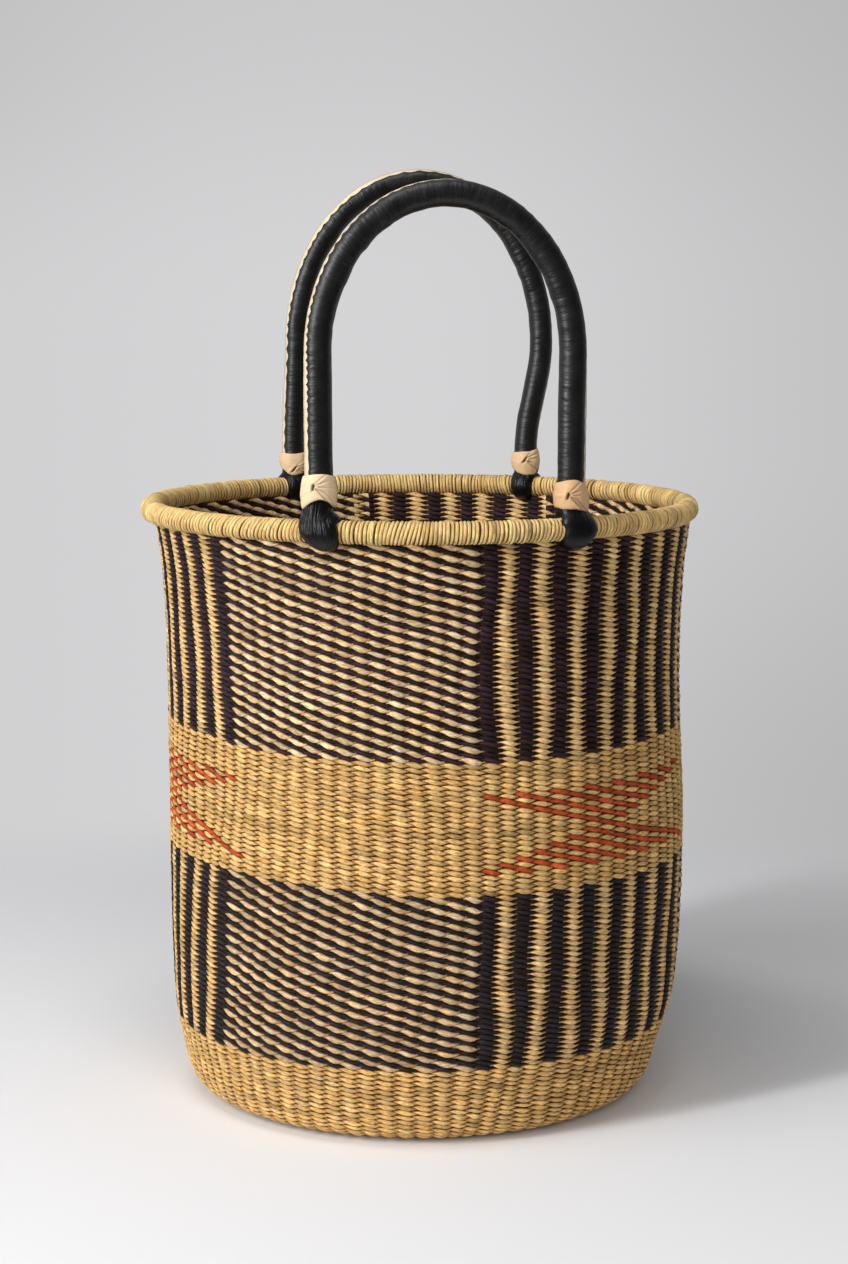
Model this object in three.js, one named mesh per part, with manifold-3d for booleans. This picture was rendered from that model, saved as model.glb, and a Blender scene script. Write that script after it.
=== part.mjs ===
// Round twined straw basket with a lashed rim and two leather covered bow handles.
// Millimetres, +Z up. The origin is the middle of the underside, and the front handle is at -Y.
import * as THREE from "three";
import { mergeVertices } from "three/addons/utils/BufferGeometryUtils.js";
import Module from "manifold-3d";

const wasm = await Module();
wasm.setup();

// Rim: a bundle of stake ends, lashed over with straw
const rimCentreRadius = 192;
const rimCentreHeight = 421.3;
const rimRadius = 7.94;
const rimCoreRadius = 4.5;

// Woven body: one wall, worked in bands of different colours
const wallThickness = 5.5;
const baseThickness = 6.5;
const baseCornerInset = 8;
const plainStart = 20;
const lowerPatternStart = 57;
const middleStart = 178.3;
const upperPatternStart = 269.4;

// Outer line of the body, from the floor to the rim: shares of the rim's height and radius
const outlineHeightShares = [
  0, 0.0031, 0.0095, 0.0214, 0.038, 0.0878, 0.1234, 0.1614,
  0.2326, 0.356, 0.4747, 0.617, 0.757, 0.8545, 0.928, 0.962, 1,
];
const outlineRadiusShares = [
  0.734, 0.792, 0.833, 0.865, 0.883, 0.911, 0.932, 0.948,
  0.961, 0.97, 0.971, 0.965, 0.962, 0.969, 0.981, 0.992, 1.004,
];

// Foot wraps: leather bound round the rim where a handle stands
const wrapRadius = 14;
const frontWrapHalfLength = 16.5;
const frontWrapHalfWidth = 12.6;
const rearWrapHalfLength = 14.2;
const rearWrapHalfWidth = 10.8;

// What both handles share
const hingeClearance = 0.9;
const sleeveThickness = 2.2;
const liningWidth = 3;
const liningProud = 0.25;
const collarBulge = 0.8;
const tuckWidth = 7;
const tuckHeight = 9;
const tuckDepth = 5.6;

// Front handle
const frontFootHalfSpacing = 83;
const frontLegShift = -2.6;
const frontArchHalfWidth = 83.5;
const frontRise = 218;
const frontSpringHeight = 116;
const frontSway = -2.5;
const frontSleeveRadius = 9.25;
const frontCollarRadius = 12;
const frontCollarBottom = 17.4;
const frontCollarTop = 36.5;
const frontTurnDegrees = 1.9;

// Rear handle
const rearFootHalfSpacing = 90.8;
const rearLegShift = 0;
const rearArchHalfWidth = 95.5;
const rearRise = 236.5;
const rearSpringHeight = 112;
const rearSway = -7.2;
const rearSleeveRadius = 8.85;
const rearCollarRadius = 11.3;
const rearCollarBottom = 8.5;
const rearCollarTop = 29;
const rearTurnDegrees = 178;

// Between pieces that touch
const touchGap = 0.3;

// How finely round shapes are cut
const bodySegments = 60;
const rimSides = 12;
const rimCoreSides = 8;
const rimCavitySteps = 10;
const handleCoreSides = 10;
const archSteps = 30;
const sleeveArcSteps = 13;
const sleeveBoreSteps = 12;
const collarSegments = 20;
const collarRows = 4;
const wrapRows = 6;
const wrapSegments = 20;
const hingeSegments = 40;
const tuckSegments = 10;
const tuckRows = 8;

// Solids that are cut and joined

function solidOf(geometry) {
  const bare = geometry.clone();
  bare.deleteAttribute("normal");
  bare.deleteAttribute("uv");
  const merged = mergeVertices(bare);
  return new wasm.Manifold(
    new wasm.Mesh({
      numProp: 3,
      vertProperties: merged.attributes.position.array,
      triVerts: new Uint32Array(merged.index.array),
    }),
  );
}

function cut(geometry, ...cutters) {
  const left = cutters.reduce((solid, cutter) => solid.subtract(solidOf(cutter)), solidOf(geometry));
  const mesh = left.getMesh();
  const result = new THREE.BufferGeometry();
  result.setAttribute("position", new THREE.BufferAttribute(mesh.vertProperties, 3));
  result.setIndex(new THREE.BufferAttribute(mesh.triVerts, 1));
  result.computeVertexNormals();
  return result;
}

// Turned shapes: each profile is a list of (radius, height) points, anticlockwise

function turned(profile, segments) {
  return new THREE.LatheGeometry(profile, segments).rotateX(Math.PI / 2);
}

function turnedRing(profile, segments) {
  return turned([...profile, profile[0]], segments);
}

function arcPoints(radius, from, to, steps) {
  return Array.from({ length: steps + 1 }, (_, i) => {
    const angle = THREE.MathUtils.lerp(from, to, i / steps);
    return new THREE.Vector2(radius * Math.cos(angle), radius * Math.sin(angle));
  });
}

function circlePoints(radius, sides) {
  return arcPoints(radius, 0, 2 * Math.PI, sides).slice(0, -1);
}

function rimTube(radius, sides) {
  const centre = new THREE.Vector2(rimCentreRadius, rimCentreHeight);
  const section = circlePoints(radius, sides).map((point) => point.add(centre));
  return turnedRing(section, bodySegments);
}

// The woven body

const outline = outlineHeightShares.map((share, i) => {
  return new THREE.Vector2(outlineRadiusShares[i] * rimCentreRadius, share * rimCentreHeight);
});

function wallRadius(height) {
  const above = Math.max(outline.findIndex((point) => point.y >= height), 1);
  const [bottom, top] = [outline[above - 1], outline[above]];
  return THREE.MathUtils.mapLinear(height, bottom.y, top.y, bottom.x, top.x);
}

function outlineBetween(from, to) {
  const between = outline.map((point) => point.y).filter((height) => height > from && height < to);
  return [from, ...between, to];
}

function band(from, to, spread = 0) {
  const heights = outlineBetween(from, to);
  const outer = heights.map((height) => new THREE.Vector2(wallRadius(height) + spread, height));
  const depth = wallThickness + spread;
  const inner = heights.map((height) => new THREE.Vector2(wallRadius(height) - depth, height));
  return turnedRing([...outer, ...inner.reverse()], bodySegments);
}

function base() {
  const heights = outlineBetween(0, plainStart);
  const corner = heights.map((height) => new THREE.Vector2(wallRadius(height), height));
  const inside = wallRadius(plainStart) - wallThickness;
  const profile = [
    new THREE.Vector2(0, 0),
    ...corner,
    new THREE.Vector2(inside, plainStart),
    new THREE.Vector2(inside - baseCornerInset, baseThickness),
    new THREE.Vector2(0, baseThickness),
  ];
  return turned(profile, bodySegments);
}

const wallTop = rimCentreHeight - rimCoreRadius - touchGap;

function wallSlot() {
  return band(rimCentreHeight - 2 * wrapRadius, wallTop + touchGap, touchGap);
}

// The binding is a C in section: it goes round the core and stops at both faces of the wall's top

function rimBinding() {
  const cavity = rimCoreRadius + touchGap;
  const slotOutside = wallRadius(wallTop) + touchGap - rimCentreRadius;
  const slotInside = wallRadius(rimCentreHeight - rimRadius) - wallThickness - touchGap - rimCentreRadius;
  const slotTop = wallTop + touchGap - rimCentreHeight;
  const outerStart = -Math.acos(slotOutside / rimRadius);
  const outerEnd = 2 * Math.PI - Math.acos(slotInside / rimRadius);
  const cavityStart = Math.PI + Math.asin(-slotTop / cavity);
  const cavityEnd = -Math.acos(slotOutside / cavity);
  const section = [
    ...arcPoints(rimRadius, outerStart, outerEnd, rimSides),
    new THREE.Vector2(slotInside, slotTop),
    ...arcPoints(cavity, cavityStart, cavityEnd, rimCavitySteps),
  ];
  const centre = new THREE.Vector2(rimCentreRadius, rimCentreHeight);
  return turnedRing(section.map((point) => point.add(centre)), bodySegments);
}

// A foot wrap swells round the rim like a barrel, with its axis along the rim

function footWrap(handle, side) {
  const { wrapHalfLength, wrapHalfWidth } = handle;
  const swell = Array.from({ length: wrapRows + 1 }, (_, i) => {
    const along = THREE.MathUtils.lerp(-wrapHalfWidth, wrapHalfWidth, i / wrapRows);
    const share = along / wrapHalfLength;
    return new THREE.Vector2(wrapRadius * Math.sqrt(1 - share * share), along);
  });
  const ends = [new THREE.Vector2(0, -wrapHalfWidth), new THREE.Vector2(0, wrapHalfWidth)];
  const barrel = new THREE.LatheGeometry([ends[0], ...swell, ends[1]], wrapSegments);
  barrel.rotateZ(-Math.PI / 2);
  barrel.translate(0, -rimCentreRadius, rimCentreHeight);
  barrel.rotateZ(handle.turn + side * footBearing(handle));
  return cut(barrel, rimTube(rimRadius + touchGap, rimSides), wallSlot());
}

// Handles: each is drawn in its own upright plane, with its hinge line along X through both feet

const frontHandle = {
  name: "front",
  footHalfSpacing: frontFootHalfSpacing,
  archHalfWidth: frontArchHalfWidth,
  rise: frontRise,
  springHeight: frontSpringHeight,
  sway: frontSway,
  legShift: frontLegShift,
  sleeveRadius: frontSleeveRadius,
  collarRadius: frontCollarRadius,
  collarBottom: frontCollarBottom,
  collarTop: frontCollarTop,
  wrapHalfLength: frontWrapHalfLength,
  wrapHalfWidth: frontWrapHalfWidth,
  turn: THREE.MathUtils.degToRad(frontTurnDegrees),
  rightSide: 1,
  tuckSide: -1,
};

const rearHandle = {
  name: "rear",
  footHalfSpacing: rearFootHalfSpacing,
  archHalfWidth: rearArchHalfWidth,
  rise: rearRise,
  springHeight: rearSpringHeight,
  sway: rearSway,
  legShift: rearLegShift,
  sleeveRadius: rearSleeveRadius,
  collarRadius: rearCollarRadius,
  collarBottom: rearCollarBottom,
  collarTop: rearCollarTop,
  wrapHalfLength: rearWrapHalfLength,
  wrapHalfWidth: rearWrapHalfWidth,
  turn: THREE.MathUtils.degToRad(rearTurnDegrees),
  rightSide: -1,
  tuckSide: 1,
};

// The hollow at a handle's lower ends clears the foot wrap, and the rim where it curves away
const cupRadius = wrapRadius + hingeClearance;
const legStart = cupRadius / 2;
const legShare = 0.3;

function footBearing(handle) {
  return Math.asin(handle.footHalfSpacing / rimCentreRadius);
}

// Middle line of a handle: a leg up to the spring of the arch, the arch, and a leg down

class HandleLine extends THREE.Curve {
  constructor(handle) {
    super();
    this.handle = handle;
  }

  getPoint(t, target = new THREE.Vector3()) {
    const onLeg = Math.min(t, 1 - t) / legShare;
    return onLeg < 1 ? this.legPoint(t < legShare ? -1 : 1, onLeg, target) : this.archPoint(t, target);
  }

  legPoint(side, share, target) {
    const { footHalfSpacing, archHalfWidth, collarTop, springHeight, legShift, sway } = this.handle;
    const height = THREE.MathUtils.lerp(legStart, springHeight, share);
    const drawnIn = THREE.MathUtils.smoothstep(height, collarTop, springHeight);
    const reach = THREE.MathUtils.lerp(footHalfSpacing, archHalfWidth, drawnIn);
    return target.set(side * reach + THREE.MathUtils.lerp(legShift, sway, drawnIn), 0, height);
  }

  archPoint(t, target) {
    const { archHalfWidth, springHeight, rise, sway } = this.handle;
    const angle = Math.PI * THREE.MathUtils.mapLinear(t, legShare, 1 - legShare, 1, 0);
    const height = springHeight + (rise - springHeight) * Math.sin(angle);
    return target.set(archHalfWidth * Math.cos(angle) + sway, 0, height);
  }
}

// A cylinder along the hinge line, which hollows the lower ends of a handle's pieces

function hingeCup(handle) {
  const reach = handle.footHalfSpacing + 2 * handle.collarRadius;
  const profile = [
    new THREE.Vector2(0, -reach),
    new THREE.Vector2(cupRadius, -reach),
    new THREE.Vector2(cupRadius, reach),
    new THREE.Vector2(0, reach),
  ];
  return new THREE.LatheGeometry(profile, hingeSegments).rotateZ(Math.PI / 2);
}

function alongHandle(handle, section) {
  const swept = new THREE.ExtrudeGeometry(new THREE.Shape(section), {
    steps: archSteps,
    extrudePath: new HandleLine(handle),
  });
  return cut(swept, hingeCup(handle));
}

function coreRadius(handle) {
  return handle.sleeveRadius - sleeveThickness - touchGap;
}

function handleCore(handle) {
  return alongHandle(handle, circlePoints(coreRadius(handle), handleCoreSides));
}

// The sleeve is a C in section, open on the outer side of the arch, where the lining shows

function sleeve(handle) {
  const outer = handle.sleeveRadius;
  const bore = handle.sleeveRadius - sleeveThickness;
  const halfGap = liningWidth / 2 + touchGap;
  const outerEdge = Math.asin(halfGap / outer);
  const boreEdge = Math.asin(halfGap / bore);
  return alongHandle(handle, [
    ...arcPoints(outer, outerEdge, 2 * Math.PI - outerEdge, sleeveArcSteps),
    ...arcPoints(bore, 2 * Math.PI - boreEdge, boreEdge, sleeveBoreSteps),
  ]);
}

function lining(handle) {
  const inner = coreRadius(handle) + touchGap;
  const outer = handle.sleeveRadius + liningProud;
  const half = liningWidth / 2;
  return alongHandle(handle, [
    new THREE.Vector2(inner, -half),
    new THREE.Vector2(outer, -half),
    new THREE.Vector2(outer, half),
    new THREE.Vector2(inner, half),
  ]);
}

// A collar is hollowed below, where it rides round the foot wrap

function collar(handle) {
  const { collarBottom, collarTop } = handle;
  const bore = handle.sleeveRadius + liningProud + touchGap;
  const swell = Array.from({ length: collarRows + 1 }, (_, i) => {
    const share = i / collarRows;
    const fromMiddle = 2 * share - 1;
    const radius = handle.collarRadius - collarBulge * fromMiddle * fromMiddle;
    return new THREE.Vector2(radius, THREE.MathUtils.lerp(collarBottom, collarTop, share));
  });
  const inside = [new THREE.Vector2(bore, collarTop), new THREE.Vector2(bore, collarBottom)];
  return cut(turnedRing([...swell, ...inside], collarSegments), hingeCup(handle));
}

// The end of a collar's strip, tucked into a small knot on its face

function tuck(handle) {
  const { collarBottom, collarTop } = handle;
  const knot = new THREE.SphereGeometry(1, tuckSegments, tuckRows);
  knot.scale(tuckWidth / 2, tuckDepth / 2, tuckHeight / 2);
  knot.translate(0, handle.tuckSide * handle.collarRadius, (collarBottom + collarTop) / 2);
  const face = handle.collarRadius + touchGap;
  const collarSpace = [
    new THREE.Vector2(0, collarBottom),
    new THREE.Vector2(face, collarBottom),
    new THREE.Vector2(face, collarTop),
    new THREE.Vector2(0, collarTop),
  ];
  return cut(knot, turned(collarSpace, collarSegments));
}

// Colours and finishes

const straw = { color: 0xc69a5c, roughness: 0.75 };
const paleStraw = { color: 0xd8b878, roughness: 0.7 };
const aubergineWeave = { color: 0x7a5648, roughness: 0.75 };
const inkWeave = { color: 0x6b5a4c, roughness: 0.75 };
const blackLeather = { color: 0x1c1a1a, roughness: 0.45 };
const tanLeather = { color: 0xc08a5a, roughness: 0.6 };
const creamLining = { color: 0xe2d5bd, roughness: 0.8 };

function place(parent, name, geometry, look) {
  const piece = new THREE.Mesh(geometry, new THREE.MeshStandardMaterial({ ...look, metalness: 0 }));
  piece.name = name;
  parent.add(piece);
  return piece;
}

const basket = new THREE.Group();

place(basket, "base_weave", base(), straw);
place(basket, "wall_lower_plain", band(plainStart + touchGap, lowerPatternStart), straw);
place(basket, "wall_lower_pattern", band(lowerPatternStart + touchGap, middleStart), inkWeave);
place(basket, "wall_middle", band(middleStart + touchGap, upperPatternStart), straw);
place(basket, "wall_upper_pattern", band(upperPatternStart + touchGap, wallTop), aubergineWeave);
place(basket, "rim_core", rimTube(rimCoreRadius, rimCoreSides), straw);
place(basket, "rim_binding", rimBinding(), paleStraw);

for (const handle of [frontHandle, rearHandle]) {
  const upright = new THREE.Group();
  const chordDistance = rimCentreRadius * Math.cos(footBearing(handle));
  upright.rotation.z = handle.turn;
  upright.position.set(0, -chordDistance, rimCentreHeight);
  upright.position.applyAxisAngle(upright.up.set(0, 0, 1), handle.turn);
  basket.add(upright);

  place(upright, `handle_core_${handle.name}`, handleCore(handle), paleStraw);
  place(upright, `handle_sleeve_${handle.name}`, sleeve(handle), blackLeather);
  place(upright, `sleeve_lining_${handle.name}`, lining(handle), creamLining);

  for (const side of [-1, 1]) {
    const corner = `${handle.name}_${side === handle.rightSide ? "right" : "left"}`;
    const foot = side * handle.footHalfSpacing;
    place(basket, `foot_wrap_${corner}`, footWrap(handle, side), blackLeather);
    const leg = foot + handle.legShift;
    place(upright, `collar_${corner}`, collar(handle), tanLeather).position.x = leg;
    place(upright, `collar_tuck_${corner}`, tuck(handle), tanLeather).position.x = leg;
  }
}

export default basket;
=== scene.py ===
"""Round twined straw basket with a lashed rim and two leather covered bow handles.

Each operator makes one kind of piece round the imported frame: the woven body, the rim, the leather
round the rim, the handles, their collars and the studio. Lengths are in metres.
"""

import math

import bpy
import numpy as np
from bpy.props import FloatProperty, FloatVectorProperty, IntProperty, PointerProperty
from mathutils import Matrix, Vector


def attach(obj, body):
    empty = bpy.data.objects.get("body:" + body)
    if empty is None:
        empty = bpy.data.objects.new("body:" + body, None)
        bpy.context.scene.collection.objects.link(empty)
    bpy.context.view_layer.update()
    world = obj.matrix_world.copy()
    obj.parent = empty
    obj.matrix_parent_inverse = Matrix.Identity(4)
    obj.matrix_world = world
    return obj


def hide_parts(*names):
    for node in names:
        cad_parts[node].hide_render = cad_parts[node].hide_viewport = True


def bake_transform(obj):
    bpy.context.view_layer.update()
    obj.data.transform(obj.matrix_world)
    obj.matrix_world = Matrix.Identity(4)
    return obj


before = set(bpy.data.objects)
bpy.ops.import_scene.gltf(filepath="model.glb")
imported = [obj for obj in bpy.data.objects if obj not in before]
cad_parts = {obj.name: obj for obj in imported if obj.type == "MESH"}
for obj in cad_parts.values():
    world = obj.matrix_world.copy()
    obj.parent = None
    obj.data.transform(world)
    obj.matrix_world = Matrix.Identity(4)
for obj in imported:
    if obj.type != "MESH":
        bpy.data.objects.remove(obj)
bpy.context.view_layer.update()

bl_info = {
    "name": "Woven straw basket",
    "version": (1, 0, 0),
    "blender": (4, 5, 0),
    "location": "View3D > Sidebar > Basket",
    "description": "Weaves a round straw basket and covers its handles with leather",
    "category": "Add Mesh",
}

MM = 0.001

# Sizes that the woven body shares with the frame, in metres:

RIM_RADIUS = 0.192
RIM_HEIGHT = 0.4213
OUTLINE_HEIGHT_SHARES = (
    0, 0.0031, 0.0095, 0.0214, 0.038, 0.0878, 0.1234, 0.1614,
    0.2326, 0.356, 0.4747, 0.617, 0.757, 0.8545, 0.928, 0.962, 1,
)
OUTLINE_RADIUS_SHARES = (
    0.734, 0.792, 0.833, 0.865, 0.883, 0.911, 0.932, 0.948,
    0.961, 0.97, 0.971, 0.965, 0.962, 0.969, 0.981, 0.992, 1.004,
)
WALL_THICKNESS = 0.0055
TOP_OF_WEAVE = 0.414
# How far the hand-woven wall leans to the right of the rim's middle: (height, shift)
LEAN = (
    (0, 0), (0.027, 0.0003), (0.041, 0.0008), (0.056, 0.002), (0.07, 0.0033), (0.099, 0.0043), (0.142, 0.0048),
    (0.214, 0.005), (0.257, 0.0037), (0.315, 0.0027), (0.401, 0.0025), (0.416, 0.002), (0.43, 0),
)
# The view of the photograph: its turn about the upright axis and its tilt, where the camera stands, and its
# lens in millimetres for a frame of the given height
VIEW_TURN = math.radians(-4.7)
VIEW_TILT = math.radians(8.067)
CAMERA_AT = (-0.15, -1.8632, 0.5946)
LENS, FRAME_HEIGHT = 74.21, 36
# How far the middle of the weave lies outside the middle of the wall's thickness
SPREAD = 0.0006
# How far the stakes stray leftwards, in degrees, and the rows upwards, in millimetres, for each height: their
# values at the bearings in the first line
STRAY_BEARINGS = (-180, -71, -55, -46.5, 5, 17, 30, 42, 59, 80, 180)
STRAY = (
    (0.0, (0, 8, 7.2, 6.5, 1.2, 1.25, 1.4, 1, 1, 0, 0)),
    (0.06, (0, 8, 7.2, 6.5, 1.2, 1.25, 1.4, 1, 1, 0, 0)),
    (0.115, (0, 7, 5, 4.5, 0.5, 1.6, 2.4, 2.4, 2.6, 1, 0)),
    (0.178, (0, 5, 2.8, 2.4, 0.15, 1.05, 1.9, 2, 0.5, 0, 0)),
    (0.27, (0, 1, 0, 0.9, 0.3, 0.5, 0.9, 0.8, 0.3, 0, 0)),
    (0.34, (0, 2, 1.2, 1.2, 0.2, -0.1, 0.8, 0, 0.4, 0, 0)),
    (0.414, (0, 2, 3, 1.9, 0.2, 1.4, 0.6, 0.9, 0.5, 0, 0)),
)
RISE_BEARINGS = (-180, -120, -57, -50, -46, -28, -14, -5, 5, 17, 42, 55, 180)
RISE = (
    (0.03, (0,) * 13),
    (0.06, (0, -1, -1, -1, -1, -0.6, 0, 0, 0, 0, 0, 0, 0)),
    (0.178, (0, 4.6, 5.2, 5.6, 5.6, 4.1, 1.5, 0, 0, 0, 0, 0, 0)),
    (0.27, (0, 5, 5, 2.2, 0.8, 0, 0, -0.6, -2.4, -1.6, -1, 0, 0)),
    (0.414, (0,) * 13),
)

# Bands of the weave: name, its frame node, top, rows, material slot, pieces
BANDS = (
    ("plain", "wall_lower_plain", 0.057, 10, "straw", 1),
    ("lower", "wall_lower_pattern", 0.1783, 33, "ink_weave", 3),
    ("middle", "wall_middle", 0.2694, 25, "straw", 2),
    ("upper", "wall_upper_pattern", TOP_OF_WEAVE, 40, "aubergine_weave", 3),
)
BASE_TOP = 0.0203
BASE_ROWS = 47
BASE_START = 0.005
# The base has fewer stakes towards its middle: (from this radius, stakes)
BASE_STAKES = ((0.108, 92), (0.06, 46), (0.03, 24), (0, 12))

# Stakes round the wall, with their bearings in degrees from the front, rightwards
STAKES = 92
STAKE_BEARINGS = (
    (0, -46.55), (14, 5.25), (15, 9.1), (17, 17), (19, 25.6), (21, 34.1), (23, 42.2), (25, 50.1),
    (27, 59), (29, 67.9), (31, 75.8), (48, 140.3), (49, 144.3), (60, 188.8), (61, 192.7),
    (75, 244.5), (76, 248.5), (79, 261.8), (81, 271.3), (83, 279.9), (85, 288.2), (87, 295.8),
    (89, 303), (91, 309.6), (92, 313.45),
)
# Panels of the coloured bands: first stake and whether their rows alternate
PANELS = ((0, True), (15, False), (31, True), (49, False), (61, True), (76, False))
# Red streaks of the middle band, each falling one row a stake: (stake, row, stitches)
STREAKS = (
    (0, 18, 10), (2, 18, 7), (4, 18, 6), (6, 18, 5), (8, 18, 4), (10, 18, 3), (12, 18, 2), (14, 18, 1),
    (0, 4, 1), (1, 5, 2), (2, 6, 3), (3, 7, 4), (4, 8, 5), (5, 9, 6), (6, 10, 7), (10, 8, 6),
)
STREAK_STARTS = (15, 46, 77)
# In plain, striped and alternating panels, as shares and for straw and dyed strands: the strands' height, how high
# each still is where it passes between two stakes, and how pointed it is towards them
STRAND_HEIGHTS = ((1.1, 1.22, 1.28), (1.05, 0.94, 0.76))
STRAND_TIPS = ((0.36, 0.2, 0.38), (0.38, 0.34, 0.5))
STRAND_POINTS = ((1.0, 1.45, 1.0), (1.0, 0.8, 1.0))
RED_TIP = 0.6
# How far a strand falls between two stakes, and how much painted shade it gets there and between two rows
DROP_SHARE = (0.74, 0.95, 1.2)
RED_DROP = 1.6
HOLE_SHADE = (0.42, 0.3, 0.3)
ROW_SHADE = (0.7, 0.85, 0.85)
# How much deeper the dyed strands of an alternating panel lie
SUNK = 0.0002
# Samples along a stitch, and points round a strand
PER_STITCH = 6
STRAND_SIDES = 6
# Tint of the straw in striped and alternating panels
PANEL_TINTS = {
    "upper": ((1.08, 1.15, 1.36), (1.05, 1.2, 1.72)),
    "lower": ((1.0, 1.05, 1.24), (0.84, 0.93, 1.34)),
}
NATURAL, AUBERGINE, INK, RED = range(4)
# Dyed strands are faded here and there: dye, how much that varies, and the colour they fade to
FADES = ((AUBERGINE, 0.6, (0.042, 0.0155, 0.029)), (INK, 0.5, (0.021, 0.0165, 0.023)))

# Handles: what each has, in its own upright plane, with x along the line through its feet
HANDLES = {
    "front": {
        "foot": 0.083, "shift": -0.0026, "arch": 0.0835, "rise": 0.218, "spring": 0.116, "sway": -0.0025,
        "sleeve": 0.00925, "collar": 0.012, "top": 0.0365, "start": 0.0245,
        "wrap": 0.0138, "turn": 1.9, "right": 1,
        # Opening of the sleeve along the handle, in degrees from its outer side: outward, inward
        "open_out": (37, 34, 27, 21, 17, 15, 22, 30),
        "open_in": (30, 30, 28, 26, 26, 26, 28, 30),
    },
    "rear": {
        "foot": 0.0908, "shift": 0, "arch": 0.0955, "rise": 0.2365, "spring": 0.112, "sway": -0.0072,
        "sleeve": 0.00885, "collar": 0.0113, "top": 0.029, "start": 0.016,
        "wrap": 0.0125, "turn": 178, "right": -1,
        "open_out": (24, 23, 21, 20, 20, 20, 20, 22),
        "open_in": (10, 10, 12, 30, 48, 42, 33, 33),
    },
}
# Collars: heights above the rim's middle of the lower and the upper edge, at the side that faces the front of
# the basket, at the right, at the far side and at the left; the slit's place right of the middle and its
# height; its tilt; how strongly the leather is creased, which also sets the painted shade in the creases; and
# a factor on its colour
COLLARS = {
    "front_left": {
        "lower": (0.0216, 0.0153, 0.0175, 0.0152), "upper": (0.0383, 0.0363, 0.0347, 0.0367),
        "slit": (-0.0049, 0.0296, 0.1), "creased": 0.9, "tone": (1.13, 1.28, 1.38),
    },
    "front_right": {
        "lower": (0.0136, 0.0108, 0.013, 0.0142), "upper": (0.0331, 0.0282, 0.0292, 0.0308),
        "slit": (-0.0041, 0.0224, 0.25), "creased": 1.0, "tone": (0.9, 0.84, 0.74),
    },
    "rear_left": {
        "lower": (0.0095, 0.013, 0.012, 0.0165), "upper": (0.0263, 0.0275, 0.0285, 0.0272),
        "slit": (0.0005, 0.0142, 0.9), "creased": 0.5, "tone": (0.98, 1.02, 1.0),
    },
    "rear_right": {
        "lower": (0.009, 0.0105, 0.0115, 0.013), "upper": (0.0275, 0.0298, 0.0292, 0.0266),
        "slit": (-0.0015, 0.0208, 0.8), "creased": 0.9, "tone": (0.98, 1.0, 0.96),
    },
}
# Foot leather: half its length along the rim, how far it leans to the right at its shoulder and its bottom,
# the shares by which it is drawn in and flatter below, and how strongly it is pleated
FEET = {
    "front_left": (0.0131, -0.0018, 0.0042, 0.27, 0.07, 1.0),
    "front_right": (0.0122, -0.0016, -0.0034, 0.13, -0.02, 0.3),
    "rear_left": (0.0112, 0.0, 0.0, 0.25, 0.07, 0.7),
    "rear_right": (0.0112, 0.0, 0.0, 0.25, 0.07, 0.5),
}
# Half the thickness of the rim under the foot leather, and of the hole through that leather
RIM_HALF = 0.0078
BORE_HALF = 0.0068
# How far a collar that swings inward by this angle stays from the rim's middle
SWING_IN = math.radians(45)
COLLAR_CLEARANCE = 0.0088


# Settings


def colour(name, description, default):
    return FloatVectorProperty(
        name=name, description=description, default=default, subtype="COLOR", size=3, min=0, max=1
    )


def amount(name, description, default, **limits):
    return FloatProperty(name=name, description=description, default=default, min=0, **limits)


def length(name, description, default):
    return amount(name, description, default, subtype="DISTANCE", unit="LENGTH", precision=4)


def power(name, description, default):
    return amount(name, description, default, unit="POWER")


class WeaveSettings(bpy.types.PropertyGroup):
    reach: length("Reach", "How far a strand swings in front of and behind the stakes", 0.0016)
    drop: length("Drop", "How far a strand falls between two stakes, from their middle", 0.001)
    strand_height: length("Strand height", "Half the height of a strand where it crosses a stake", 0.0019)
    strand_depth: length("Strand depth", "Half the depth of a strand where it crosses a stake", 0.00105)
    unevenness: amount("Unevenness", "How much the rows and stitches vary by hand", 1, max=3)
    seed: IntProperty(name="Seed", description="Start of the random draws", default=7, min=0)
    straw: colour("Straw", "Natural straw", (0.82, 0.51, 0.185))
    aubergine: colour("Aubergine", "Dyed strands of the upper band", (0.016, 0.0065, 0.006))
    ink: colour("Ink", "Dyed strands of the lower band", (0.012, 0.0085, 0.009))
    red: colour("Red", "Streaks of the middle band", (0.62, 0.105, 0.032))


class RimSettings(bpy.types.PropertyGroup):
    turns: IntProperty(name="Turns", description="Turns of the lashing round the rim", default=372, min=60)
    tube: length("Rim thickness", "Half the thickness of the lashed rim", 0.0078)
    straw: colour("Rim straw", "Straw of the lashing", (0.98, 0.67, 0.27))


class LeatherSettings(bpy.types.PropertyGroup):
    sleeve_thickness: length("Sleeve thickness", "Thickness of the leather round a handle", 0.0011)
    scallop: length("Scallop length", "Length of one wave along the edge of a sleeve", 0.009)
    wrinkle: length("Wrinkle height", "Height of the wrinkles across a sleeve", 0.00012)
    black: colour("Black leather", "Sleeves and foot wraps", (0.0032, 0.003, 0.0032))
    tan: colour("Collar leather", "Undyed leather of the collars", (0.76, 0.52, 0.31))
    cream: colour("Lining", "Pale hide along the handles", (0.74, 0.63, 0.45))


class StudioSettings(bpy.types.PropertyGroup):
    key: power("Key light", "Soft light from the left", 21.2)
    strip: power("Strip light", "Narrow light from the left", 41)
    top: power("Top light", "Soft light from above", 13.5)
    fill: power("Fill light", "Broad light from the front", 18)
    ambient: amount("Ambient", "Light from all sides", 0.2)
    floor: colour("Floor", "Pale floor", (0.885, 0.89, 0.91))
    backdrop: colour("Backdrop", "Grey behind the basket", (0.66, 0.66, 0.67))


# Meshes


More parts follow.
